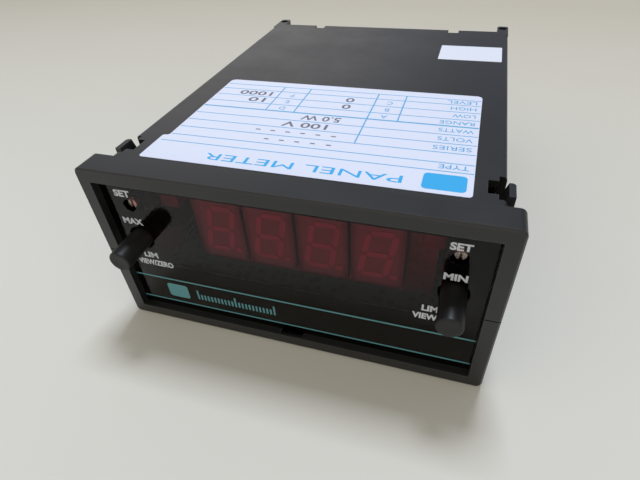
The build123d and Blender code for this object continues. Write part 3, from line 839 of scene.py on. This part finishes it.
# Vinyl label with offset-printed table lines, a solid block and grey stamped numbers.
LABEL_VINYL = LabelFilm("printed_vinyl_white", "#e3e9fb")
STICKER_VINYL = LabelFilm("plain_vinyl_white", "#e9edfa")
LINE_INK = PrintedInk("offset_ink_light_blue", "#5aaee2", cover=0.06)
BLOCK_INK = PrintedInk("offset_ink_bright_blue", "#2fb0f0", cover=0.04)
STAMP_INK = PrintedInk("ribbon_ink_grey", "#77778a", cover=0.2)
# Black acetal turned for the buttons: waxy and even, its ends a shade greyer than the case by a painted highlight along
# their edges.
BUTTON_ACETAL = MouldedPlastic("turned_acetal_black", "#111112", pale="#343436", roughness=0.46, grain=0.4,
                               relief=0.003, ior=1.43)
# Polyphenylene faces of the figure modules, painted grey so that unlit segments hardly show, with a painted glow round
# the segments and painted shade toward the sides.
MODULE_FACE = ModulePaint("painted_module_grey", "#9a9092", side="#6c6163")
# Milky red epoxy of the figure segments and of the alarm lamps.
SEGMENT_EPOXY = DyedEpoxy("cast_epoxy_segment_red", "#c497a6", deep="#b88a9a")
LAMP_EPOXY = DyedEpoxy("cast_epoxy_lamp_red", "#84626a", deep="#6e5058")
# Nickel-plated brass of the trimmer screws, turned, with bright slot edges.
SCREW_NICKEL = WorkedMetal("turned_brass_nickelled", "#cfc9bd", roughness=0.24)
# Ground steel case pins, zinc-plated terminal screws, tinned brass clips and black anodised sink.
PIN_STEEL = WorkedMetal("ground_steel", "#b9babc", roughness=0.28)
ZINC_STEEL = WorkedMetal("zinc_plated_steel", "#c6c8c9", roughness=0.33, stain="#8d8f8c")
CLIP_BRASS = WorkedMetal("tinned_brass_strip", "#d2cbb4", roughness=0.3)
SINK_ANODISED = WorkedMetal("anodised_aluminium_black", "#2c2c2e", roughness=0.45, stretch=(1.0, 1.0, 12.0),
                            stain="#3a3a3c")
# Green polyamide plugs and headers, as moulded, with soft gloss and a pale green painted highlight along their edges.
TERMINAL_PA = MouldedPlastic("moulded_polyamide_green", "#2f7a45", pale="#5fae74", roughness=0.4, edge=0.35)
# Insulating card that lines the side walls: tan inside, where the window turns it dull red, and black outside.
CARD_INSIDE = PrintedInk("pressed_card_tan", "#c8b0a2", roughness=0.8)
CARD_OUTSIDE = PrintedInk("pressed_card_black", "#121212", roughness=0.7)
# Solder-masked glass-epoxy of the main and alarm boards.
BOARD = MaskedBoard("masked_glass_epoxy", "#1f5c38")
# Bare paper-phenolic of the display board: tan, so that the window turns it a dull red round the modules.
DISPLAY_BOARD = MaskedBoard("bare_paper_phenolic", "#96807a", track="#9e8880")
# Moulded chips, switches, trimmers, relays and header strips: matt skins, with a faint painted highlight along their
# edges.
CHIP = MouldedPlastic("moulded_epoxy_black", "#1f1f20", roughness=0.5, edge=0.2)
SWITCH = MouldedPlastic("moulded_phenolic_black", "#232122", roughness=0.45, edge=0.2)
TRIMMER = MouldedPlastic("moulded_phthalate_black", "#26262a", pale="#4c4c52", roughness=0.45, edge=0.3)
RELAY = MouldedPlastic("moulded_polyester_orange", "#b4632c", pale="#c98552", roughness=0.42, edge=0.3)
LINK = MouldedPlastic("moulded_header_black", "#242424", roughness=0.5, edge=0.2)
# The transformer's varnished iron laminations and the tape wound round its coil.
IRON = Layered("varnished_iron_laminations", "#5d5f63", layer=0.5, axis="Y", metallic=0.8, roughness=0.42)
TAPE = Layered("wound_polyester_tape", "#c9a23c", line="#8f6d22", layer=6.0, axis="Z", roughness=0.28)
# Capacitor cans in a dark sleeve with bare tops, and the fuse's glass tube between its metal caps.
SLEEVE = EndCapped("sleeved_aluminium_can", "#23272e", axis=2, start=0.0, stop=27.4)
FUSE = EndCapped("capped_glass_tube", "#8fa39c", axis=0, start=25.0, stop=35.0, roughness=0.12)


# ---------------------------------------------------------------- settling


def settle(piece: Object, *finishes: Finish, body: str = "housing", slot: str | None = None,
           replaces: Sequence[str] = ()) -> Object:
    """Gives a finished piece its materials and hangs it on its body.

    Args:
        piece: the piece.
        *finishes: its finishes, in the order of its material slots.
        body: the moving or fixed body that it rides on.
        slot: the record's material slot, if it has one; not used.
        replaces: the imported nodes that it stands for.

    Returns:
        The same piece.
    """
    deselect()
    piece.data.materials.clear()
    for finish in finishes:
        piece.data.materials.append(finish.material())
    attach(piece, body)
    if replaces:
        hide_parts(*replaces)
    LOG.info("%s: %d faces on %s", piece.name, len(piece.data.polygons), body)
    return piece


def second_finish(piece: Object, test: Test) -> None:
    """Puts a settled piece's second finish on the faces that pass a test, as in choose."""
    choose(piece, "FACE", test)
    piece.active_material_index = 1
    bpy.ops.object.material_slot_assign()
    deselect()


def dress_node(node: str, finish: Finish) -> None:
    """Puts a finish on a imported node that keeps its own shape.

    Args:
        node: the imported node's name.
        finish: its finish.
    """
    for slot in frame["nodes"][node].material_slots:
        slot.material = finish.material()
    LOG.info("%s: finished in %s", node, finish.name)


# ---------------------------------------------------------------- sub-assemblies


@dataclass
class Case:
    """The two moulded half shells with the bezel, the pins across them, and the card that lines their side walls.

    Fields: edge is the rounding of the moulded edges in mm, liner the card's corners (y, z), wall its distance from
    the middle, and card its thickness.
    """

    edge: float = 0.12
    liner: tuple[tuple[float, float], tuple[float, float]] = ((8.0, 9.3), (31.0, 42.0))
    wall: float = 42.9
    card: float = 0.15

    def build(self) -> None:
        """Rounds and dresses both halves, and lays the card along the side walls."""
        for half in ("upper_shell", "lower_shell"):
            shell = rounded(merged_copy(half, half.replace("shell", "moulding")), self.edge)
            settle(shell, CASE_ABS, slot="case_plastic", replaces=[half])
        for pin in ("left_case_pin", "right_case_pin"):
            dress_node(pin, PIN_STEEL)
        for name, sign, facing in (("left_liner", -1, Facing.LEFT), ("right_liner", 1, Facing.RIGHT)):
            liner = film(name, *self.liner, sign * self.wall, self.card, facing, 1.0, 4)
            second_finish(settle(liner, CARD_INSIDE, CARD_OUTSIDE), lambda at, to: to.x * sign > 0.9)


@dataclass
class Window:
    """The dyed pane with its black mask, teal lines and white legends.

    Fields: edge is the pane's rounding in mm, back its rear level and gap the mask's distance from it, red the clear
    field's low and high corner (x, z), lines the levels of the teal lines, line_width their width, reach their half
    length, ink the print's thickness, block the teal block's corners, and marks, first, foot and mark the scale
    marks' number, first place, lower end and width. Every so many marks one is tall and the rest are short.
    """

    edge: float = 0.1
    back: float = 4.0
    gap: float = 0.04
    red: tuple[tuple[float, float], tuple[float, float]] = ((-35.9, 17.2), (35.9, 40.9))
    lines: tuple[float, float] = (14.2, 5.7)
    line_width: float = 0.44
    reach: float = 44.5
    ink: float = INK
    block: tuple[tuple[float, float], tuple[float, float]] = ((-35.6, 7.6), (-29.4, 12.5))
    marks: int = 23
    first: float = -26.5
    foot: float = 8.3
    mark: float = 0.5
    every: int = 11
    tall: float = 3.4
    short: float = 2.0

    def build(self) -> None:
        """Builds the pane and all that is printed on it."""
        self.mask()
        self.pane()
        self.teal()
        self.legends()

    def pane(self) -> None:
        """Cuts the pane, with a mirroring outer skin and a plain inner one."""
        pane = rounded(merged_copy("window", "filter_pane"), self.edge)
        settle(pane, WINDOW_SKIN, WINDOW_BACK, slot="window_filter", replaces=["window"])
        second_finish(pane, lambda at, to: at.y > WINDOW_FACE + self.edge + 0.01)

    def mask(self) -> None:
        """Lays the black mask behind the pane, open over the red field and at the four holes."""
        mask = merged_copy("window", "window_mask", flatten=False)
        choose(mask, "FACE", lambda at, to: not to.y > 0.9)
        bpy.ops.mesh.delete(type="FACE")
        (left, low), (right, high) = self.red
        for (x, z), normal in (((left, low), (1, 0, 0)), ((right, low), (1, 0, 0)), ((left, low), (0, 0, 1)),
                               ((left, high), (0, 0, 1))):
            bpy.ops.mesh.select_all(action="SELECT")
            bpy.ops.mesh.bisect(plane_co=place(x, self.back, z), plane_no=normal)
        choose(mask, "FACE", lambda at, to: left < at.x < right and low < at.z < high)
        bpy.ops.mesh.delete(type="FACE")
        bpy.ops.mesh.select_all(action="SELECT")
        bpy.ops.transform.translate(value=(0, self.gap * MM, 0))
        bpy.ops.mesh.flip_normals()
        with_modifier(mask, "SOLIDIFY", thickness=self.ink * MM, offset=-1)
        settle(mask, MASK_INK)

    def teal(self) -> None:
        """Prints the two teal lines and, between them, a plain block and a row of plain scale marks."""
        half = self.line_width / 2
        prints = [film("teal_line", (-self.reach, level - half), (self.reach, level + half), WINDOW_FACE, self.ink,
                       Facing.FRONT, 0.1) for level in self.lines]
        prints.append(film("teal_block", *self.block, WINDOW_FACE, self.ink, Facing.FRONT, 0.8, 5))
        for mark in range(self.marks):
            x, top = self.first + mark, self.foot + (self.short if mark % self.every else self.tall)
            prints.append(film("teal_mark", (x - self.mark / 2, self.foot), (x + self.mark / 2, top), WINDOW_FACE,
                               self.ink, Facing.FRONT, 0.12))
        settle(joined("teal_print", prints), TEAL_INK)

    def legends(self) -> None:
        """Prints the plain white words beside the screws and buttons."""
        rows = [("SET", (-38.9, WINDOW_FACE, 41.1), 4.4), ("MAX", (-38.7, WINDOW_FACE, 33.0), 5.6),
                ("LIM", (-37.2, WINDOW_FACE, 22.3), 4.1), ("VIEW/ZERO", (-36.6, WINDOW_FACE, 19.6), 10.4),
                ("SET", (37.6, WINDOW_FACE, 40.7), 4.3), ("MIN", (37.6, WINDOW_FACE, 32.6), 4.8),
                ("LIM", (33.6, WINDOW_FACE, 22.0), 3.6), ("VIEW", (32.7, WINDOW_FACE, 19.3), 5.6)]
        settle(lettering("white_legends", rows, Facing.FRONT, 1.8, 0.06), WHITE_INK)


@dataclass
class Controls:
    """The push buttons and the trimmer screws that show through the window's holes.

    Fields: tip and heel are the button's ends, radius and stem its two radii, collar the level between them, and
    spread and height the buttons' place.
    """

    tip: float = -7.5
    heel: float = 19.0
    collar: float = 11.2
    radius: float = 2.75
    stem: float = 1.6
    spread: float = 37.8
    height: float = 28.0

    def build(self) -> None:
        """Builds both sides."""
        for side, sign in (("left", -1), ("right", 1)):
            self.button(side, sign)
            self.screw(side)
            dress_node(side + "_switch", SWITCH)
            dress_node(side + "_trimmer", TRIMMER)

    def button(self, side: str, sign: int) -> None:
        """Turns one push button with a rounded, slightly dished end.

        Args:
            side: "left" or "right".
            sign: -1 or 1.
        """
        r = self.radius
        profile = [(self.heel, self.stem - 0.15), (self.heel - 0.15, self.stem), (self.collar, self.stem),
                   (self.collar, r - 0.2), (self.collar - 0.2, r), (self.tip + 0.45, r), (self.tip + 0.2, r - 0.08),
                   (self.tip + 0.06, r - 0.24), (self.tip, r - 0.5), (self.tip + 0.1, r - 1.3),
                   (self.tip + 0.14, r - 2.2)]
        piece = turned(side + "_push_rod", (sign * self.spread, 0, self.height), (0, 1, 0), profile, 64)
        settle(smooth(piece, 28), BUTTON_ACETAL, body=side + "_push", slot="button_plastic",
               replaces=[side + "_button"])

    def screw(self, side: str) -> None:
        """Rounds one trimmer screw's head."""
        piece = rounded(merged_copy(side + "_trimmer_screw", side + "_adjusting_screw"), 0.06)
        settle(piece, SCREW_NICKEL, body=side + "_adjuster", slot="screw_brass", replaces=[side + "_trimmer_screw"])


@dataclass
class Display:
    """The four figure modules and the two alarm lamps behind the window."""

    figures: int = 4

    def build(self) -> None:
        """Dresses the modules, their segments and the lamps."""
        for figure in range(1, self.figures + 1):
            dress_node(f"digit_{figure}", MODULE_FACE)
            dress_node(f"digit_segments_{figure}", SEGMENT_EPOXY)
        for side in ("left", "right"):
            dress_node(side + "_alarm_lamp", LAMP_EPOXY)


@dataclass
class TypeLabel:
    """The white label on the case's top, with a printed table and plain numbers, and a bare sticker behind it.

    Fields: low and high are the label's corners (x, y), jog how much wider its front strip is and shift where that
    ends, film its thickness, rows and columns the table's lines in mm, bold its heavy line, thin, heavy and upright
    the lines' widths, and block and sticker the corners of the blue block and of the bare sticker.
    """

    low: tuple[float, float] = (-36.3, 10.1)
    high: tuple[float, float] = (38.2, 58.6)
    jog: float = 1.6
    shift: float = 21.2
    film: float = 0.08
    rows: tuple[float, ...] = (18.65, 22.1, 26.5, 30.8, 35.1, 43.5, 47.8, 52.1, 55.4)
    bold: float = 39.6
    thin: float = 0.28
    heavy: float = 0.56
    upright: float = 0.34
    columns: tuple[tuple[float, float], ...] = ((-17.5, 39.6), (-9.4, 39.6), (10.6, 26.5), (18.4, 39.6))
    block: tuple[tuple[float, float], tuple[float, float]] = ((28.0, 11.4), (36.9, 17.4))
    sticker: tuple[tuple[float, float], tuple[float, float]] = ((23.3, 86.2), (42.8, 99.8))

    def build(self) -> None:
        """Cuts and prints the label, and lays the bare sticker."""
        settle(self.blank(), LABEL_VINYL)
        settle(self.table(), LINE_INK)
        level = CASE_TOP + self.film
        settle(film("label_block", *self.block, level, INK, Facing.TOP, 1.0, 5), BLOCK_INK)
        self.numbers(level + 0.01)
        sticker = film("bare_sticker", *self.sticker, CASE_TOP, self.film, Facing.TOP, 0.3, 3)
        settle(sticker, STICKER_VINYL)

    def blank(self) -> Object:
        """Cuts the label from a plane: a wider front strip, rounded corners, and the film's thickness."""
        deselect()
        width, length = (h - l for l, h in zip(self.low, self.high))
        middle = place((self.low[0] + self.high[0]) / 2, (self.low[1] + self.high[1]) / 2, CASE_TOP)
        bpy.ops.mesh.primitive_plane_add(size=MM, location=middle)
        piece = named("type_label")
        piece.scale = (width, length, 1)
        freeze(piece)
        bpy.ops.object.mode_set(mode="EDIT")
        bpy.ops.mesh.select_all(action="SELECT")
        bpy.ops.mesh.bisect(plane_co=place(0, self.shift, 0), plane_no=(0, 1, 0))
        choose(piece, "EDGE", lambda at, to: at.x < self.low[0] + 0.1 and at.y < self.shift - 0.1)
        bpy.ops.mesh.extrude_region_move(TRANSFORM_OT_translate={"value": (-self.jog * MM, 0, 0)})
        bpy.ops.mesh.select_all(action="SELECT")
        bpy.ops.mesh.dissolve_limited(angle_limit=radians(1.0))
        for level, radius in ((self.low[1], 0.9), (self.shift, 0.75), (self.high[1], 1.5)):
            choose(piece, "VERT", lambda at, to: abs(at.y - level) < 0.1)
            bpy.ops.mesh.bevel(offset=radius * MM, segments=6, affect="VERTICES")
        return thickened(piece, (0, 0, self.film * MM))

    def table(self) -> Object:
        """Prints the table's lines."""
        inner, right = self.low[0] + 0.3, self.high[0] - 0.15
        rules = [((self.low[0] - 0.7 if y < self.shift else inner, y - self.thin / 2), (right, y + self.thin / 2),
                  0.015) for y in self.rows]
        rules.append(((inner, self.bold - self.heavy / 2), (right, self.bold + self.heavy / 2), INK))
        rules += [((x - self.upright / 2, start), (x + self.upright / 2, self.rows[-1]), 0.018)
                  for x, start in self.columns]
        # Lines that cross differ in thickness, so no two printed faces share a plane.
        return joined("label_table", [film("rule", low, high, CASE_TOP + self.film, ink, Facing.TOP, 0.05)
                                      for low, high, ink in rules])

    def numbers(self, level: float) -> None:
        """Prints plain words in blue, and dashes and plain round values in grey.

        Args:
            level: the print's level in mm.
        """
        lines = sorted((*self.rows[1:-1], self.bold))
        middles = [(a + b) / 2 for a, b in zip(lines, lines[1:])]
        words = (("TYPE", 6.4, 20.6), ("SERIES", 8.6, middles[1]), ("VOLTS", 8.0, middles[2]),
                 ("WATTS", 8.2, middles[3]), ("RANGE", 8.4, middles[4]), ("LOW", 5.6, middles[5]),
                 ("HIGH", 6.4, middles[6]), ("LEVEL", 7.6, 53.8))
        rows = [(word, (37.0 - width / 2, y, level), width) for word, width, y in words]
        rows += [(mark, (x, y, level), None) for x, marks in ((14.6, "ABC"), (-13.4, "DEF"))
                 for mark, y in zip(marks, middles[4:])]
        settle(lettering("label_words", rows, Facing.TOP, 1.9, 0.0), LINE_INK)
        title = [("PANEL METER", (1.0, 13.6, level), 46.0)]
        settle(lettering("label_title", title, Facing.TOP, 2.9, 0.0), BLOCK_INK)
        stamped = (("-  -  -  -  -", -3.0, 0, 17.0), ("-  -  -  -  -  -", -5.0, 1, 21.0), ("100 V", -4.0, 2, 12.0),
                   ("5.0 W", -1.0, 3, 10.5), ("0", 3.6, 5, 2.4), ("0", 3.6, 6, 2.4), ("10", -22.6, 5, 5.0),
                   ("1000", -24.6, 6, 10.0))
        values = [(value, (x, middles[row], level), width) for value, x, row, width in stamped]
        settle(lettering("label_values", values, Facing.TOP, 2.7, 0.02), STAMP_INK)


@dataclass
class RearTerminals:
    """The rear cover with its plugs, clamp screws and terminal numbers.

    Fields: pitch is the ways' spacing, rows hold each plug's name, ways, middle x and top level, screw is the clamp
    screw's radius, sunk its depth below the plug's top and depth its place, face the rear cover's rear level, and
    cover_edge and edge the roundings of the cover and of the plugs in mm.
    """

    pitch: float = 5.08
    rows: tuple[tuple[str, int, float, float], ...] = (("signal", 10, 0.0, 19.0), ("relay", 6, 20.0, 33.2))
    screw: float = 1.5
    sunk: float = 0.4
    depth: float = 120.0
    face: float = 114.0
    cover_edge: float = 0.12
    edge: float = 0.1

    def build(self) -> None:
        """Builds the cover, the connectors and their screws and numbers."""
        cover = rounded(merged_copy("rear_cover", "vented_cover"), self.cover_edge)
        settle(cover, COVER_NYLON, slot="cover_plastic", replaces=["rear_cover"])
        pattern = self.pattern_screw()
        number = 1
        for name, ways, middle, top in self.rows:
            for part in ("header", "plug"):
                piece = rounded(merged_copy(f"{name}_{part}", f"{name}_{part}_moulding"), self.edge)
                settle(piece, TERMINAL_PA, slot="terminal_plastic", replaces=[f"{name}_{part}"])
            digits = []
            for way in range(ways):
                x = middle + (way - (ways - 1) / 2) * self.pitch
                copy = moved_copy(pattern, f"{name}_clamp_screw_{way + 1}", (x, 0, top - self.rows[0][3]))
                settle(smooth(copy, 30), ZINC_STEEL, slot="clamp_steel")
                digits.append((str(number), (x, self.face, top + 2.2), None))
                number += 1
            settle(lettering(f"{name}_numbers", digits, Facing.REAR, 1.6), WHITE_INK)
        bpy.data.objects.remove(pattern)

    def pattern_screw(self) -> Object:
        """Turns the slotted clamp screw that the others are copied from."""
        top = self.rows[0][3] - self.sunk
        profile = [(-1.6, self.screw - 0.1), (-1.5, self.screw), (-0.15, self.screw), (-0.05, self.screw - 0.05),
                   (0.0, self.screw - 0.15)]
        piece = turned("clamp_screw_pattern", (0, self.depth, top), (0, 0, 1), profile, 32)
        return sunk_slot(piece, (0, self.depth, top), (2.5, 0.6, 0.6), (0, 0, 1), (0, 1, 0))


@dataclass
class Electronics:
    """The boards and parts inside, which show only through the window and the vents."""

    finishes: tuple[tuple[str, Finish], ...] = (
        ("main_board", BOARD), ("alarm_board", BOARD), ("display_board", DISPLAY_BOARD),
        ("transformer_core", IRON), ("transformer_coil", TAPE), ("filter_capacitor_1", SLEEVE),
        ("filter_capacitor_2", SLEEVE), ("heat_sink", SINK_ANODISED), ("regulator", CHIP), ("fuse", FUSE),
        ("fuse_clips", CLIP_BRASS), ("converter_chip", CHIP), ("logic_chip", CHIP), ("comparator_chip", CHIP),
        ("alarm_relay_1", RELAY), ("alarm_relay_2", RELAY), ("display_link", LINK), ("alarm_link", LINK))

    def build(self) -> None:
        """Dresses each part."""
        for node, finish in self.finishes:
            dress_node(node, finish)


@dataclass
class Studio:
    """The floor, the lights and the camera.

    Fields: eye, right, up and forward place the camera as the photograph has it, lens is in mm on a 36 mm wide
    sensor, key and fill are the lamp's and the room's shares of the plain light level, wall is the direction of the
    room's palest wall, height the lamp's in metres, slant how many times higher it hangs than it is behind, aside
    its place to the right, lamp_size its width, lamp_tint its colour, wide, corner and drop the floor's width, its
    corners' cut and its depth below the object in metres, and floor and far its colours near by and far behind, the
    far one darkened by painted shade. The room's light is above overhead and behind, front before the object, and
    pale at the palest wall.
    """

    eye: Point = (0.034007, -0.125468, 0.098649)
    right: Point = (0.9534, 0.2972, -0.0512)
    up: Point = (-0.1555, 0.6297, 0.7611)
    forward: Point = (-0.2584, 0.7177, -0.6466)
    lens: float = 25.541
    key: float = 0.57
    fill: float = 0.5
    wall: Point = (-0.5, 0.85, 0.08)
    height: float = 1.3
    slant: float = 3.2
    aside: float = 0.02
    lamp_size: float = 0.3
    lamp_tint: Point = (0.82, 0.89, 1.0)
    wide: float = 12.0
    corner: float = 3.0
    drop: float = 0.00005
    floor: str = "#dcdad1"
    far: str = "#bfb8a8"
    above: Point = (0.5, 0.54, 0.64, 1.0)
    front: Point = (1.43, 1.34, 1.17, 1.0)
    pale: Point = (1.85, 1.8, 1.78, 1.0)

    def build(self) -> None:
        """Lays the floor, hangs the lamp and sets the camera."""
        self.ground()
        self.lamp()
        self.room()
        self.camera()

    def ground(self) -> None:
        """Lays a wide plain floor with rounded corners."""
        deselect()
        bpy.ops.mesh.primitive_plane_add(size=self.wide, location=(0, 0, -self.drop))
        ground = freeze(named("floor"))
        choose(ground, "VERT", lambda at, to: True)
        bpy.ops.mesh.bevel(offset=self.corner, segments=8, affect="VERTICES")
        deselect()
        ground.data.materials.append(PaperFloor("plain_paper_floor", self.floor, self.far).material())

    def lamp(self) -> None:
        """Hangs one wide lamp above and a little behind, as the photograph's short front shadow shows."""
        deselect()
        behind = self.height / self.slant
        bpy.ops.object.light_add(type="AREA", location=(self.aside, place(0, 20, 0).y + behind, self.height))
        lamp = bpy.context.active_object
        lamp.name = "key_lamp"
        lamp.data.size = self.lamp_size
        lamp.data.energy = self.key * pi * pi * (self.height ** 2 + behind ** 2) * 1.06
        lamp.data.color = self.lamp_tint
        lamp.rotation_euler = (-Vector((self.aside, behind, self.height))).to_track_quat("-Z", "Y").to_euler()

    def room(self) -> None:
        """Lights the room: warm and bright in front, cooler and dimmer above, with a pale wall low at the rear."""
        world = bpy.data.worlds.new("soft_room")
        world.use_nodes = True
        tree = world.node_tree
        tree.nodes.clear()
        way = add_node(tree, "TexCoord").outputs["Generated"]
        split = add_node(tree, "SeparateXYZ", links={0: way})
        ahead = add_node(tree, "MapRange", {"From Min": 0.35, "From Max": -0.45}, {"Value": split.outputs["Y"]})
        sky = add_node(tree, "Mix", {"data_type": "RGBA", 6: self.above, 7: self.front}, {0: ahead})
        palest = Vector(self.wall).normalized()
        toward = add_node(tree, "VectorMath", {"operation": "DOT_PRODUCT", 1: palest}, {0: way})
        near = add_node(tree, "MapRange", {"From Min": 0.86, "From Max": 0.97}, {"Value": toward})
        bright = add_node(tree, "Mix", {"data_type": "RGBA", 7: self.pale}, {0: near, 6: sky})
        glow = add_node(tree, "Background", {"Strength": self.fill}, {"Color": bright})
        add_node(tree, "OutputWorld", links={"Surface": glow})
        bpy.context.scene.world = world
        bpy.context.scene.view_settings.view_transform = "Standard"

    def camera(self) -> None:
        """Sets the camera at the photograph's viewpoint."""
        deselect()
        turn = Matrix((self.right, self.up, [-c for c in self.forward])).transposed()
        bpy.ops.object.camera_add(location=self.eye, rotation=turn.to_euler())
        camera = bpy.context.active_object
        camera.name = "photo_camera"
        camera.data.sensor_width = 36.0
        camera.data.lens = self.lens
        camera.data.clip_start = 0.005
        bpy.context.scene.camera = camera


def main() -> None:
    """Builds every sub-assembly in order."""
    logging.basicConfig(level=logging.INFO, format="%(message)s")
    for assembly in (Studio(), Case(), Window(), Controls(), Display(), TypeLabel(), RearTerminals(),
                     Electronics()):
        LOG.info("%s", type(assembly).__name__)
        assembly.build()
    deselect()


if __name__ == "__main__":
    main()
